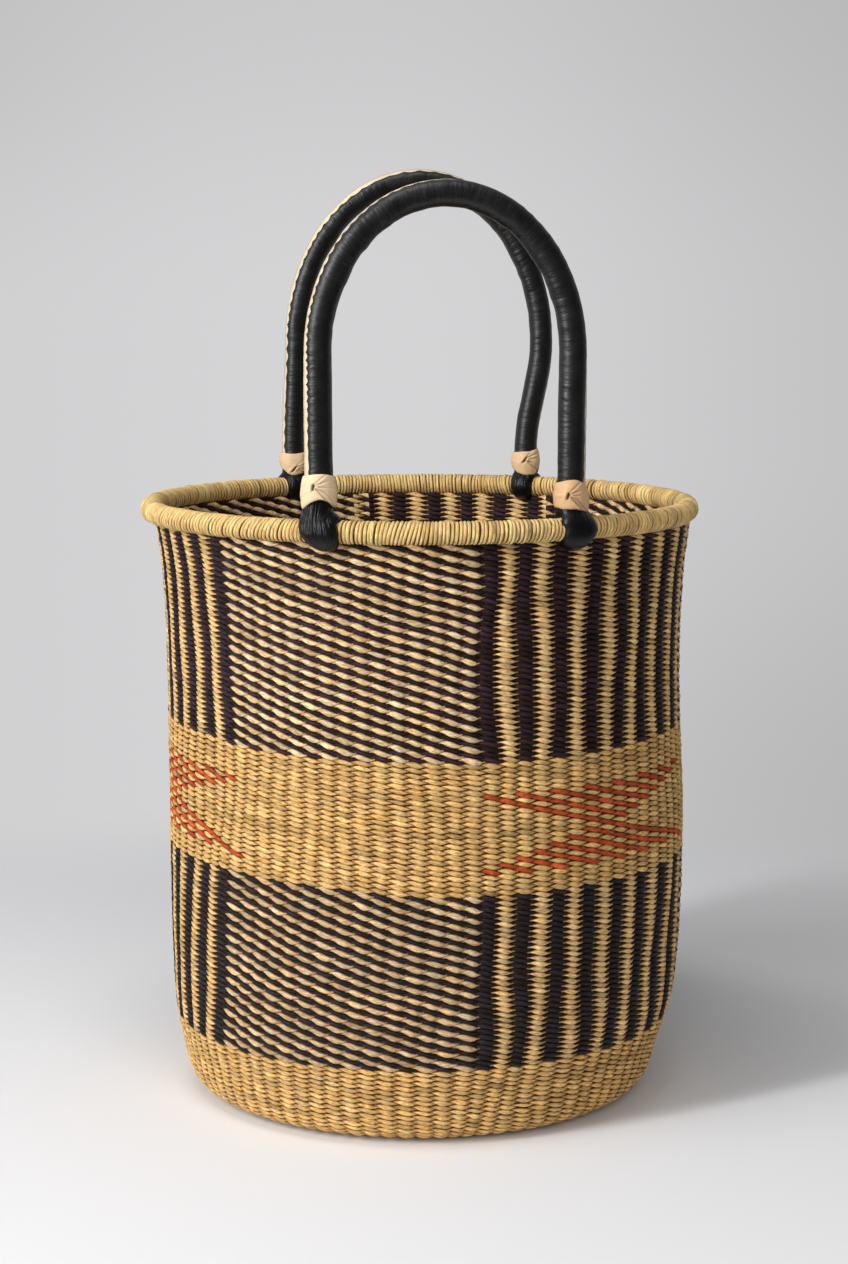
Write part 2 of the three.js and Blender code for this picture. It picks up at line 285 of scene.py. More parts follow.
def add_object(name, points, quads):
    mesh = bpy.data.meshes.new(name)
    points, quads = np.asarray(points, np.float32), np.asarray(quads, np.int32)
    mesh.vertices.add(len(points))
    mesh.vertices.foreach_set("co", points.ravel())
    mesh.loops.add(quads.size)
    mesh.loops.foreach_set("vertex_index", quads.ravel())
    mesh.polygons.add(len(quads))
    mesh.polygons.foreach_set("loop_start", np.arange(len(quads), dtype=np.int32) * 4)
    mesh.polygons.foreach_set("use_smooth", np.ones(len(quads), bool))
    mesh.update(calc_edges=True)
    piece = bpy.data.objects.new(name, mesh)
    bpy.context.scene.collection.objects.link(piece)
    return piece


def add_attribute(piece, name, kind, domain, values):
    field = "color" if kind == "FLOAT_COLOR" else "vector" if kind == "FLOAT_VECTOR" else "value"
    attribute = piece.data.attributes.new(name, kind, domain)
    attribute.data.foreach_set(field, np.asarray(values, np.float32).ravel())


def cap_quads(ring):
    """Quads that close a ring of an even number of points."""
    half = len(ring) // 2
    return [(ring[j], ring[j + 1], ring[-2 - j], ring[-1 - j]) for j in range(half - 1)]


def add_tubes(name, rings, closed=False, stack=1):
    """One mesh of tubes from rings of shape (tubes, rings, points, 3). Its map lays them out side by side."""
    tubes, steps, sides, _ = rings.shape
    index = np.arange(tubes * steps * sides).reshape(tubes, steps, sides)
    start = index if closed else index[:, :-1]
    end = np.roll(index, -1, 1) if closed else index[:, 1:]
    quads = np.stack([start, np.roll(start, -1, 2), np.roll(end, -1, 2), end], -1).reshape(-1, 4)
    caps = []
    if not closed:
        for tube in index:
            caps += cap_quads(tube[0][::-1].tolist()) + cap_quads(tube[-1].tolist())
        quads = np.concatenate([quads, np.array(caps)])
    piece = add_object(name, rings.reshape(-1, 3), quads)
    add_map(piece, start.shape, len(caps), stack)
    return piece


def add_map(piece, shape, caps, stack):
    tubes, spans, sides = shape
    tube, span, side = np.meshgrid(np.arange(tubes), np.arange(spans), np.arange(sides), indexing="ij")
    across = np.stack([side, side + 1, side + 1, side], -1) / sides
    along = np.stack([span, span, span + 1, span + 1], -1) / spans * stack
    fold = np.minimum(span * stack // spans, stack - 1)[..., None]
    lane = (tube[..., None] * stack + fold + 0.06 + 0.88 * across) / (tubes * stack)
    spots = np.stack([0.002 + 0.996 * np.clip(along - fold, 0, 1), lane], -1).reshape(-1, 2)
    spots = np.concatenate([spots, np.zeros((caps * 4, 2))])
    layer = piece.data.uv_layers.new(name="OFBake")
    layer.uv.foreach_set("vector", spots.astype(np.float32).ravel())


def finish_piece(piece, material, body, slot, *nodes):
    piece.data.materials.append(material)
    if body:
        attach(piece, body)
    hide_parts(*nodes)


def lay_straw(name, rings, dye, depth, material, slot, *nodes, closed=False, stack=1):
    """Tubes of straw on the basket, with one colour or one for each face, and how much painted shade their points get.
    """
    piece = add_tubes(name, rings, closed, stack)
    faces, points = len(piece.data.polygons), len(piece.data.vertices)
    add_attribute(piece, "straw_dye", "FLOAT_COLOR", "FACE", np.broadcast_to(np.reshape(dye, (-1, 4)), (faces, 4)))
    add_attribute(piece, "straw_painted_shade", "FLOAT", "POINT", np.broadcast_to(np.ravel(depth), points))
    finish_piece(piece, material, "basket", slot, *nodes)


def lay_leather(name, rings, material, body, slot, node, closed=False, stack=1):
    """A tube of leather. Its grain is measured in millimetres round and along it."""
    piece = add_tubes(name, rings[None], closed, stack)
    around = np.linalg.norm(np.diff(rings, axis=1, append=rings[:, :1]), axis=-1).mean(0)
    grain = np.zeros(rings.shape)
    grain[..., 0] = np.concatenate([[0], np.cumsum(around)[:-1]]) / MM
    grain[..., 1] = lengths_along(rings.mean(1))[:, None] / MM
    add_attribute(piece, "grain", "FLOAT_VECTOR", "POINT", grain)
    finish_piece(piece, material, body, slot, node)
    return piece


# Lines and noise


def lengths_along(points):
    """How far along a line each of its points lies."""
    return np.concatenate([[0], np.cumsum(np.linalg.norm(np.diff(points, axis=0), axis=1))])


def read_off(at, run, values):
    """Points known at `run`, read off at other places."""
    return np.stack([np.interp(at, run, column) for column in values.T], -1)


def circle(sides, start=0.0):
    """Angles of even steps round a circle, from `start` of a step."""
    return 2 * np.pi * (np.arange(sides) + start) / sides


def bell(offset, width, exponent=2):
    return np.exp(-((offset / width) ** exponent))


def eased(share):
    return share * share * (3 - 2 * share)


def smooth_line(knots, spacing):
    """Points at an even spacing on a smooth line through the knots."""
    knots = np.asarray(knots, float)
    run = lengths_along(knots)
    slope = np.gradient(knots, run, axis=0)
    at = np.linspace(0, run[-1], max(int(run[-1] / spacing), 2) + 1)
    i = np.clip(np.searchsorted(run, at, side="right") - 1, 0, len(run) - 2)
    step = (run[i + 1] - run[i])[:, None]
    t = (at - run[i])[:, None] / step
    return (
        (2 * t**3 - 3 * t**2 + 1) * knots[i]
        + (t**3 - 2 * t**2 + t) * step * slope[i]
        + (3 * t**2 - 2 * t**3) * knots[i + 1]
        + (t**3 - t**2) * step * slope[i + 1]
    )


def unit(vectors):
    return vectors / np.linalg.norm(vectors, axis=-1, keepdims=True)


def waves(draw, turns, lengths, bearing, run, count=7):
    """A gentle wave of height 1 over bearings and runs: sines of random turns, lengths and phases."""
    total = 0
    for _ in range(count):
        n = draw.integers(*turns)
        wavelength = draw.uniform(*lengths) * draw.choice([-1, 1])
        total = total + np.sin(n * bearing + 2 * np.pi * run / wavelength + draw.uniform(0, 2 * np.pi))
    return total / math.sqrt(count)


def soft_noise(draw, count, spacing, closed=False):
    """One value a step, changing smoothly over about `spacing` steps."""
    knots = max(int(round(count / spacing)), 4)
    values = draw.normal(size=knots)
    at = np.arange(count) / count * (knots if closed else knots - 1)
    low = np.floor(at).astype(int)
    share = eased(at - low)
    return values[low % knots] * (1 - share) + values[(low + 1) % knots] * share


# Materials


class Nodes:
    """The nodes of a material or of the world. Each method adds one step and gives its output."""

    def __init__(self, tree):
        self.nodes, self.links = tree.nodes, tree.links

    def node(self, kind, *inputs, **settings):
        made = self.nodes.new(kind)
        for key, value in settings.items():
            setattr(made, key, value)
        for socket, value in zip(made.inputs, inputs):
            self.feed(socket, value)
        return made

    def feed(self, socket, value):
        if isinstance(value, bpy.types.NodeSocket):
            self.links.new(value, socket)
        elif value is not None:
            socket.default_value = value

    def math(self, operation, *values, clamp=False):
        return self.node("ShaderNodeMath", *values, operation=operation, use_clamp=clamp).outputs[0]

    def spread(self, value, *limits, **options):
        """The value, moved from between two limits to between two others."""
        return self.node("ShaderNodeMapRange", value, *limits, **options).outputs[0]

    def ramp(self, value, *limits):
        return self.spread(value, *limits, interpolation_type="SMOOTHSTEP")


class Finish(Nodes):
    """A material, built step by step."""

    def __init__(self, name, roughness=0.6, specular=0.5):
        self.material = bpy.data.materials.new(name)
        self.material.use_nodes = True
        super().__init__(self.material.node_tree)
        self.shader = self.nodes["Principled BSDF"]
        self.set("Roughness", roughness)
        self.set("Specular IOR Level", specular)

    def set(self, name, value):
        self.feed(self.shader.inputs[name], value)

    def fed(self, kind, **values):
        """A node whose inputs of these names are fed."""
        made = self.node(kind)
        for name, value in values.items():
            self.feed(made.inputs[name], value)
        return made

    def attribute(self, name, output="Fac"):
        return self.node("ShaderNodeAttribute", attribute_name=name).outputs[output]

    def place(self):
        return self.node("ShaderNodeTexCoord").outputs["Object"]

    def scaled(self, vector, scale):
        return self.node("ShaderNodeVectorMath", vector, scale, operation="MULTIPLY").outputs[0]

    def round_place(self, scale, slant):
        """Bearing, distance from the upright axis and height, which rises by the slant, each times its scale."""
        x, y, z = self.node("ShaderNodeSeparateXYZ", self.place()).outputs
        squares = self.math("ADD", self.math("MULTIPLY", x, x), self.math("MULTIPLY", y, y))
        bearing = self.math("ARCTAN2", y, x)
        height = self.math("MULTIPLY_ADD", bearing, slant, z)
        vector = self.node("ShaderNodeCombineXYZ", bearing, self.math("SQRT", squares), height)
        return self.scaled(vector.outputs[0], scale)

    def noise(self, vector, detail=2.0, roughness=0.5):
        made = self.fed("ShaderNodeTexNoise", Vector=vector, Scale=1.0, Detail=detail, Roughness=roughness)
        return made.outputs["Fac"]

    def mix(self, share, first, second, blend="MIX"):
        made = self.node("ShaderNodeMix", data_type="RGBA", blend_type=blend)
        for name, value in zip(("Factor", "A", "B"), (share, first, second)):
            self.feed(next(s for s in made.inputs if s.name == name and s.enabled), value)
        return next(s for s in made.outputs if s.enabled)

    def times(self, first, second):
        return self.mix(1.0, first, second, "MULTIPLY")

    def bump(self, height, distance, strength=1.0, over=None):
        return self.fed("ShaderNodeBump", Strength=strength, Distance=distance, Height=height, Normal=over).outputs[0]


def rgba(values):
    return (*values, 1.0)


def straw_finish(name, scale, painted_shade=(0.21, 0.075, 0.012), fall=1.3, specular=0.12, slant=0.035):
    """Straw whose fibres run as `scale` says. Its colour and its painted shade come from attributes."""
    look = Finish(name)
    fibres = look.noise(look.round_place(scale, slant), detail=3, roughness=0.6)
    patches = look.noise(look.scaled(look.place(), (90, 90, 160)))
    dye = look.attribute("straw_dye", "Color")
    light = look.spread(fibres, 0.32, 0.68, 0.5, 1.26), look.spread(patches, 0.3, 0.7, 0.89, 1.08)
    light = [look.math("MULTIPLY", *light)] * 3
    lit = look.times(dye, look.node("ShaderNodeCombineXYZ", *light).outputs[0])
    # Painted glints: paler, bluer streaks along the fibres, which also show as light flecks on dark straw
    pale = look.mix(1.0, look.times(dye, (1.15, 1.24, 1.75, 1)), (0.034, 0.029, 0.034, 1), "ADD")
    wear_and_sheen_tone = look.mix(look.spread(fibres, 0.55, 0.72, 0.0, 0.62), lit, pale)
    # Painted shade: darker and browner where the points lie deep
    shade = look.math("POWER", look.attribute("straw_painted_shade"), fall, clamp=True)
    look.set("Base Color", look.mix(shade, wear_and_sheen_tone, look.times(wear_and_sheen_tone, rgba(painted_shade))))
    look.set("Roughness", look.spread(fibres, 0.3, 0.7, 0.85, 0.58))
    # Dyed straw has more sheen
    redness = look.node("ShaderNodeSeparateColor", dye).outputs[0]
    look.set("Specular IOR Level", look.spread(redness, 0.05, 0.5, 0.32, specular))
    look.set("Normal", look.bump(fibres, 0.0009))
    return look.material


def leather_finish(name, base, wear_and_sheen_tone, roughness, wrinkle=0.0002, specular=0.5, streaks=0.0, fine=0.6):
    """Leather with cross wrinkles and a fine grain, laid along the grain attribute in millimetres."""
    look = Finish(name, specular=specular)
    grain = look.attribute("grain", "Vector")
    across = look.noise(look.scaled(grain, (0.07, fine, 0.3)))
    pores = look.noise(look.scaled(grain, (1.1, 1.3, 1.1)), detail=3, roughness=0.7)
    patches = look.noise(look.scaled(grain, (0.09, 0.06, 0.09)))
    wear_and_streaks = look.math("MULTIPLY", look.spread(patches, 0.42, 0.72), look.spread(pores, 0.4, 0.7), clamp=True)
    # The streaks are a second tone along the wrinkles; on the foot leather they are painted highlights
    wear_and_streaks = look.math("ADD", wear_and_streaks, look.spread(across, 0.52, 0.72, 0, streaks), clamp=True)
    tone = look.mix(wear_and_streaks, rgba(base), rgba(wear_and_sheen_tone))
    # Painted shade in the slit and the creases of a collar, and darker along its lower edge
    look.set("Base Color", look.mix(look.attribute("painted_crease_shade"), tone, (0.03, 0.014, 0.008, 1)))
    dull = look.spread(patches, 0.3, 0.7, roughness, roughness + 0.1)
    look.set("Roughness", look.math("ADD", dull, look.spread(pores, 0.35, 0.7, 0, 0.08)))
    look.set("Normal", look.bump(pores, 0.00006, 0.6, look.bump(across, wrinkle, 0.9)))
    return look.material


# The woven body


def right_of(tangent):
    return np.stack([tangent[:, 1], -tangent[:, 0]], -1)


class WallLine:
    """Middle of the weave's thickness, from the middle of the base up to the rim, by run along it."""

    def __init__(self):
        wall = zip(OUTLINE_RADIUS_SHARES, OUTLINE_HEIGHT_SHARES)
        knots = [(0, 0), (0.06, 0), (0.11, 0)] + [(r * RIM_RADIUS, h * RIM_HEIGHT) for r, h in wall]
        outer = smooth_line(knots, 0.0005)
        outer[:, 1] = np.maximum(outer[:, 1], 0)
        spread = SPREAD * np.clip(outer[:, 1:] / 0.06, 0, 1)
        self.points = outer - right_of(unit(np.gradient(outer, axis=0))) * (WALL_THICKNESS / 2 - spread)
        self.points[0, 0] = 0
        self.tangent = unit(np.gradient(self.points, axis=0))
        self.outward = right_of(self.tangent)
        self.run = lengths_along(self.points)

    def run_at_height(self, height):
        above = self.run > 0.15
        return float(np.interp(height, self.points[above, 1], self.run[above]))

    def at(self, run, values):
        return read_off(run, self.run, values)


def band_runs(line):
    """Runs of the middle of each row, for the base and then for each band."""
    edges = [line.run_at_height(BASE_TOP)] + [line.run_at_height(band[2]) for band in BANDS]
    rows = {"base": BASE_START + (edges[0] - BASE_START) * (np.arange(BASE_ROWS) + 0.5) / BASE_ROWS}
    for band, low, high in zip(BANDS, edges, edges[1:]):
        rows[band[0]] = low + (high - low) * (np.arange(band[3]) + 0.5) / band[3]
    return rows


def stake_bearing(place, stakes=STAKES):
    """Bearing in radians of a place between stakes."""
    if stakes != STAKES:
        return 2 * np.pi * place / stakes
    number, bearing = np.array(STAKE_BEARINGS, float).T
    turns = np.floor(place / STAKES)
    return np.radians(np.interp(place - turns * STAKES, number, bearing) + 360 * turns)


def rotated(radial, height, bearing):
    """Points or directions from their distance outward and their height."""
    return np.stack([radial * np.sin(bearing), -radial * np.cos(bearing), height + 0 * radial], -1)


def stray(table, bearings, bearing, height):
    """What a table of strays gives at a bearing in radians and a height."""
    turned = (np.degrees(bearing) + 180) % 360 - 180
    total = 0
    levels = [row[0] for row in table]
    for i, (_, values) in enumerate(table):
        share = np.interp(height, levels, np.eye(len(table))[i])
        total = total + share * np.interp(turned, bearings, values)
    return total


def strayed(line, bearing, run):
    """Bearing and run of a place in the weave, moved as the hand-woven wall strays there."""
    height = np.interp(run, line.run, line.points[:, 1])
    turned = bearing - np.radians(stray(STRAY, STRAY_BEARINGS, bearing, height))
    return turned, run + MM * stray(RISE, RISE_BEARINGS, bearing, height)


def leaned(points):
    """The points of the wall, moved to the right as the wall leans at their height."""
    shift = np.interp(points[..., 2], *np.array(LEAN).T)
    points[..., 0] += shift * math.cos(VIEW_TURN)
    points[..., 1] += shift * math.sin(VIEW_TURN)
    return points


def dye_plan(band, rows, stakes):
    """Dye of the stitch in front of each stake, and the kind of panel it is in, as rows by stakes."""
    front = np.full((rows, stakes), NATURAL)
    panel = np.zeros((rows, stakes), int)
    if band in ("upper", "lower"):
        row, stake = np.indices((rows, stakes))
        starts, alternates = np.array(PANELS, int).T
        alternating = alternates[np.searchsorted(starts, stake, side="right") - 1]
        front[(stake + row * alternating) % 2 == 1] = AUBERGINE if band == "upper" else INK
        panel = 1 + alternating
    if band == "middle":
        for start in STREAK_STARTS:
            for first, top, stitches in STREAKS:
                for step in range(stitches):
                    front[top - step, (start + first + step) % stakes] = RED
    return front, panel


def straw_colours(settings, draw, dye, tone, tints):
    """Colour of each stitch: its dye, varied by a tone that drifts along the strand and by the single stitch."""
    shades = np.array([settings.straw, settings.aubergine, settings.ink, settings.red], float)
    fresh = draw.normal(size=dye.shape)
    colours = shades[dye] * (0.98 + 0.09 * tone + 0.11 * fresh)[..., None]
    hue = draw.normal(size=dye.shape)[..., None]
    colours *= np.where((dye == NATURAL)[..., None], (1 + hue * np.array([0.012, -0.016, -0.065])) * tints, 1)
    for kind, varies, faded in FADES:
        share = np.where(dye == kind, np.clip(0.3 + varies * tone, 0, 1), 0)[..., None]
        colours = colours * (1 - share) + share * np.array(faded)
    return np.clip(colours, 0.004, 1)


def shown_stitch(place, strand, stakes):
    """The stake in front of which a strand shows the colour that it has at a place: the nearest of its own."""
    nearest = 2 * np.floor((place - strand + 1) / 2).astype(int) + strand
    return nearest % stakes


def weave(settings, line, runs, stakes, plan, name, seed, straw, slot, node):
    """Rows of two strands twisted round the stakes, as one piece."""
    draw = np.random.default_rng(seed)
    rows = len(runs)
    front, panel = plan
    row, strand = np.arange(rows)[:, None, None], np.arange(2)[None, :, None]
    place = np.arange(stakes * PER_STITCH) / PER_STITCH
    stitch = np.floor(place + 0.5).astype(int)[None, None] % stakes
    side = (stitch + strand) % 2
    dye = front[row, shown_stitch(place, strand, stakes)]
    here = panel[row, stitch]
    natural = dye == NATURAL

    level = np.zeros((rows, 2, len(place)))
    bearing, run = strayed(line, stake_bearing(place, stakes) + level, runs[:, None, None] + level)
    uneven = settings.unevenness * MM
    shared = np.random.default_rng(settings.seed)
    run = run + 0.42 * uneven * waves(shared, (2, 9), (0.05, 0.2), bearing, run)
    drift = waves(shared, (5, 20), (0.06, 0.25), bearing, run)
    bearing = bearing + 0.1 * settings.unevenness * drift * 2 * np.pi / stakes * (1 if stakes == STAKES else 0.4)

    def by_stitch(scale):
        values = draw.normal(size=(rows, stakes, 2)) * scale
        return values[row, stitch, side]

    def by_panel(shares):
        return np.array(shares)[1 - natural, here]

    twist = np.pi * (place + strand)
    swing, fall = np.cos(twist), np.sin(twist)
    blend = np.abs(swing)
    depth_jitter = by_stitch(0.13) * blend * uneven
    height_jitter = by_stitch(0.13) * blend * uneven
    size_jitter = 1 + by_stitch(0.07) * settings.unevenness
    tip = np.where(dye == RED, RED_TIP, by_panel(STRAND_TIPS))
    shape = tip + (1 - tip) * blend ** by_panel(STRAND_POINTS)
    half_up = settings.strand_height * by_panel(STRAND_HEIGHTS) * size_jitter * shape
    half_out = settings.strand_depth * (1.35 - 0.35 * blend)
    off = settings.reach * swing - np.where(natural, 0, SUNK) * (here == 2) * np.sign(swing) + depth_jitter
    along, outward = line.at(run, line.tangent), line.at(run, line.outward)
    beside = [panel[row, edge(place).astype(int) % stakes] for edge in (np.floor, np.ceil)]
    steep = np.interp(sum(beside), (0, 2, 4), DROP_SHARE) * np.where(dye == RED, RED_DROP, 1)
    shift = height_jitter - settings.drop * steep * fall
    centre = line.at(run, line.points) + outward * off[..., None] + along * shift[..., None]

    angle = circle(STRAND_SIDES, 0.5)
    across = half_out[..., None] * np.cos(angle)
    upward = half_up[..., None] * np.sin(angle)
    section = centre[..., None, :] + outward[..., None, :] * across[..., None] + along[..., None, :] * upward[..., None]
    points = leaned(rotated(section[..., 0], section[..., 1], bearing[..., None]))

    # Painted shade: darker where the points lie deep in the wall, in the holes at the crossings and between the rows
    painted_shade = 1 - np.abs(off[..., None] + across) / (settings.reach + settings.strand_depth)
    hole = np.array(HOLE_SHADE)[here] * (1 - blend) ** 2
    between_rows = np.array(ROW_SHADE)[here][..., None] * np.sin(angle) ** 6
    painted_shade = np.clip(np.clip((painted_shade - 0.66) / 0.34, 0, 1) + between_rows + hole[..., None], 0, 1)
    tone = np.stack([soft_noise(draw, stakes, 14, True) for _ in range(rows * 2)]).reshape(rows, 2, stakes)
    tints = np.array([(1, 1, 1), *PANEL_TINTS.get(name.split("_")[1], ((1, 1, 1),) * 2)])[panel]
    colours = np.stack([straw_colours(settings, draw, front, tone[:, i], tints) for i in range(2)], 1)
    # A face lies halfway between two samples
    faces = colours[row, strand, shown_stitch(place + 0.5 / PER_STITCH, strand, stakes)]
    faces = np.insert(faces, 3, 1, -1).repeat(STRAND_SIDES, 2)
    rings = points.reshape(rows * 2, len(place), STRAND_SIDES, 3)
    lay_straw(name, rings, faces, painted_shade, straw, slot, node, closed=True, stack=2)


def add_stakes(settings, line, straw):
    """The flat stakes stand between the two strands of each row and end in the rim."""
    samples, sides, half_thick, half_wide = 110, 6, 0.0006, 0.58
    place = np.arange(STAKES)[:, None]
    run = np.linspace(0.11, line.run_at_height(0.4175), samples) + np.zeros((STAKES, 1))
    bearing, _ = strayed(line, stake_bearing(place) + 0 * run, run)
    # The stakes drift sideways as the rows do, whose first wave is for their height
    shared = np.random.default_rng(settings.seed)
    waves(shared, (2, 9), (0.05, 0.2), bearing, run)
    drift = waves(shared, (5, 20), (0.06, 0.25), bearing, run)
    bearing = bearing + 0.1 * settings.unevenness * drift * 2 * np.pi / STAKES
    angle = circle(sides, 0.5)
    thick = half_thick * np.cos(angle)[:, None]
    flat = line.at(run, line.points)[..., None, :] + line.at(run, line.outward)[..., None, :] * thick
    aside = stake_bearing(place + half_wide * np.sin(angle)) - stake_bearing(place)
    points = leaned(rotated(flat[..., 0], flat[..., 1], bearing[..., None] + aside[:, None]))
    # Painted shade: the stakes are darkened straw, so that the holes between the strands look dark
    painted_dark = np.array(settings.straw) * (0.34, 0.28, 0.26)
    lay_straw("stakes", points, rgba(painted_dark), 0.9, straw, "straw")


def add_knot(settings, line, straw):
    """The start of the weave: crossed straws under a small coil in the middle of the base."""
    turns, sides, radius = 2.5, 8, 0.0016
    t = np.linspace(0, 1, 60)
    angle = 2 * np.pi * turns * t
    out = np.stack([np.cos(angle), np.sin(angle), 0 * t], -1)
    centre = out * (0.0012 + 0.0062 * t)[:, None] + (0, 0, line.points[0, 1] - 0.0002)
    around = circle(sides)[:, None]
    rings = centre[:, None] + radius * (out[:, None] * np.cos(around) + np.array([0, 0, 1.3]) * np.sin(around))
    # The knot gets a little painted shade
    lay_straw("base_start", rings[None], rgba(settings.straw), 0.15, straw, "straw", "base_weave")


class WeaveBody(bpy.types.Operator):
    """Weave the body: the base and the four bands of the wall, row by row"""

    bl_idname = "basket.weave_body"
    bl_label = "Weave the body"

    def execute(self, context):
        settings = context.scene.basket_weave
        straw = straw_finish("woven_straw", (45, 900, 1300))
        line = WallLine()
        runs = band_runs(line)

        def weave_band(band, rows, stakes, names, seed, slot, node):
            """Weave the rows of a band or of a ring of the base, as one piece for each name."""
            plan = dye_plan(band, len(rows), stakes)
            for i, part in enumerate(np.array_split(np.arange(len(rows)), len(names))):
                cut = [values[part] for values in plan]
                weave(settings, line, rows[part], stakes, cut, names[i], seed + i, straw, slot, node)

        radius = line.at(runs["base"], line.points)[:, 0]
        high = np.inf
        for i, (low, stakes) in enumerate(BASE_STAKES):
            names = [f"weave_base_{i + 1}{part}" for part in ("ab" if i == 0 else [""])]
            ring = runs["base"][(radius >= low) & (radius < high)]
            weave_band("base", ring, stakes, names, settings.seed + 10 * i, "straw", "base_weave")
            high = low
        for i, (band, node, _, _, slot, pieces) in enumerate(BANDS):
            names = [f"weave_{band}_{j + 1}" for j in range(pieces)] if pieces > 1 else [f"weave_{band}"]
            weave_band(band, runs[band], STAKES, names, settings.seed + 100 * (i + 1), slot, node)
        add_stakes(settings, line, straw)
        add_knot(settings, line, straw)
        return {"FINISHED"}


# The rim


def add_bundle(settings, straw):
    """Stake ends laid round the rim, under the lashing."""
    bearing, angle = circle(240)[:, None], circle(20)
    ridge = 0.0059 + 0.0003 * np.cos(5 * angle + 8 * bearing)
    rings = rotated(RIM_RADIUS + ridge * np.cos(angle), RIM_HEIGHT + ridge * np.sin(angle), bearing)
    # Painted shade: the stake ends under the lashing are darkened straw
    painted_dark = np.array(settings.straw) * 0.45
    lay_straw("rim_bundle", rings[None], rgba(painted_dark), 0.8, straw, "straw", "rim_core", closed=True, stack=8)


class LashRim(bpy.types.Operator):
    """Lash the rim: one straw wound round and round a bundle of stake ends"""

    bl_idname = "basket.lash_rim"
    bl_label = "Lash the rim"

    def execute(self, context):
        settings, weave_settings = context.scene.basket_rim, context.scene.basket_weave
        draw = np.random.default_rng(weave_settings.seed + 1)
        samples, sides, turns = 16, 8, settings.turns
        turn = np.arange(turns * samples) / samples
        around = 2 * np.pi * turn

        def uneven(spacing):
            """A value for each sample, which changes over so many turns."""
            return soft_noise(draw, len(turn), samples * spacing, True)

        # The turns lie further apart at the sides
        grid = np.linspace(0, 2 * np.pi, 4001)
        spacing = 1 + 0.75 * np.sin(grid) ** 4
        count = np.concatenate([[0], np.cumsum(1 / spacing[1:])])
        laid = np.interp(turn, count / count[-1] * turns, grid)
        pitch = 2 * np.pi / turns * np.interp(laid, grid, spacing) / (len(grid) - 1) * count[-1]
        lean = 0.42 + 0.25 * uneven(9)
        bearing = laid + pitch * (lean * np.sin(around) + 0.085 * uneven(0.7))
        thick = 0.00125 * (1 + 0.12 * uneven(1.5))
        tube = settings.tube - 0.0012 + 0.00014 * uneven(0.8)
        half_wide = 0.51 * pitch * (1 + 0.06 * uneven(0.8))
        angle = circle(sides, 0.5)
        distance = tube[:, None] + thick[:, None] * np.cos(angle)
        radial = RIM_RADIUS + distance * np.cos(around)[:, None]
        height = RIM_HEIGHT + distance * np.sin(around)[:, None]
        points = rotated(radial, height, bearing[:, None] + half_wide[:, None] * np.sin(angle))
        tone = soft_noise(draw, turns, 3, True) + 0.5 * draw.normal(size=turns)
        shade = np.array(settings.straw)[None] * (0.97 + 0.12 * tone)[:, None]
        shade = shade * (1 + draw.normal(size=turns)[:, None] * np.array([0.01, -0.015, -0.06]))
        faces = np.insert(np.clip(shade, 0, 1), 3, 1, -1).repeat(samples * sides, 0)
        # Painted shade in the grooves: darkest below, where less light falls, and different from turn to turn
        groove = np.clip(0.74 - 0.22 * np.sin(around) + 0.16 * uneven(0.6), 0.2, 1)
        painted_shade = np.interp(np.cos(angle), (0.4, 0.9), (1, 0)) * groove[:, None]
        straw = straw_finish("rim_straw", (420, 110, 110), (0.18, 0.06, 0.008), 1.25, specular=0.1, slant=0.0)
        lay_straw("rim_lashing", points[None], faces, painted_shade, straw, "rim_straw", "rim_binding", closed=True, stack=40)
        add_bundle(weave_settings, straw)
        return {"FINISHED"}


# Leather


def foot_bearing(handle, side):
    return math.radians(handle["turn"]) + side * math.asin(handle["foot"] / RIM_RADIUS)


def corner_names():
    """Each foot's name, its handle and its side in the handle's own plane."""
    for name, handle in HANDLES.items():
        for side in (-1, 1):
            yield f"{name}_{'right' if side == handle['right'] else 'left'}", handle, side


def foot_rings(draw, handle, corner, bearing):
    """Rings round the rim: a swollen, pleated band with a neck that goes up into the collar, then a bore."""
    steps, sides, pleats = 120, 144, 26
    half, shoulder, bottom, drawn_in, flatter, pleated = FEET[corner]
    # They start on the hidden side, where the grain has its seam
    around = np.pi + circle(sides)
    share = np.linspace(-1, 1, steps)[:, None]
    upward = np.sin(around)[None]
    below, above = np.clip(-upward, 0, 1), np.clip(upward, 0, 1)
    # To the right as seen from the front, which is backwards along the rim at the rear
    facing = 0.5 + 0.5 * np.cos(around)[None]
    lean = shoulder * above**1.7 * (1 - above**4) * 2.2 + bottom * below**1.7
    lean = handle["right"] * lean * (0.2 + 0.8 * facing)
    narrowing = (1 - drawn_in * below**1.4) * (0.84 + 0.16 * facing)
    along = share * half * narrowing + lean
    swell = (1 - np.abs(share) ** 2.8) ** 0.6
    distance = RIM_HALF + (handle["wrap"] * (1 - flatter * below**2) - RIM_HALF) * swell
    relief = 0
    for _ in range(pleats):
        at, width = draw.uniform(-0.95, 0.95), draw.uniform(0.022, 0.05)
        skew, rise = draw.uniform(-0.07, 0.07), draw.uniform(0.3, 1) * draw.choice([-1, 1])
        relief = relief + rise * bell(share - at * (1 - 0.22 * above) - skew * upward, width)
    neck = neck_reach(handle, corner, along - handle["shift"] - 0.6 * handle["right"] * shoulder, around)
    rounding = 0.0013
    joined = rounding * np.logaddexp(distance / rounding, neck / rounding)
    distance = distance + (joined - distance) * np.clip(above / 0.45, 0, 1) ** 2
    shown = np.clip(0.35 + 0.8 * upward, 0.12, 1)
    distance = distance + 0.0004 * pleated * relief * shown * swell
    outside = on_rim(distance, along, around, bearing)
    back = np.linspace(1, -1, 6)[:, None]
    inside = on_rim(np.full((6, sides), BORE_HALF), back * half * narrowing + lean, around, bearing)
    return np.concatenate([outside, inside])


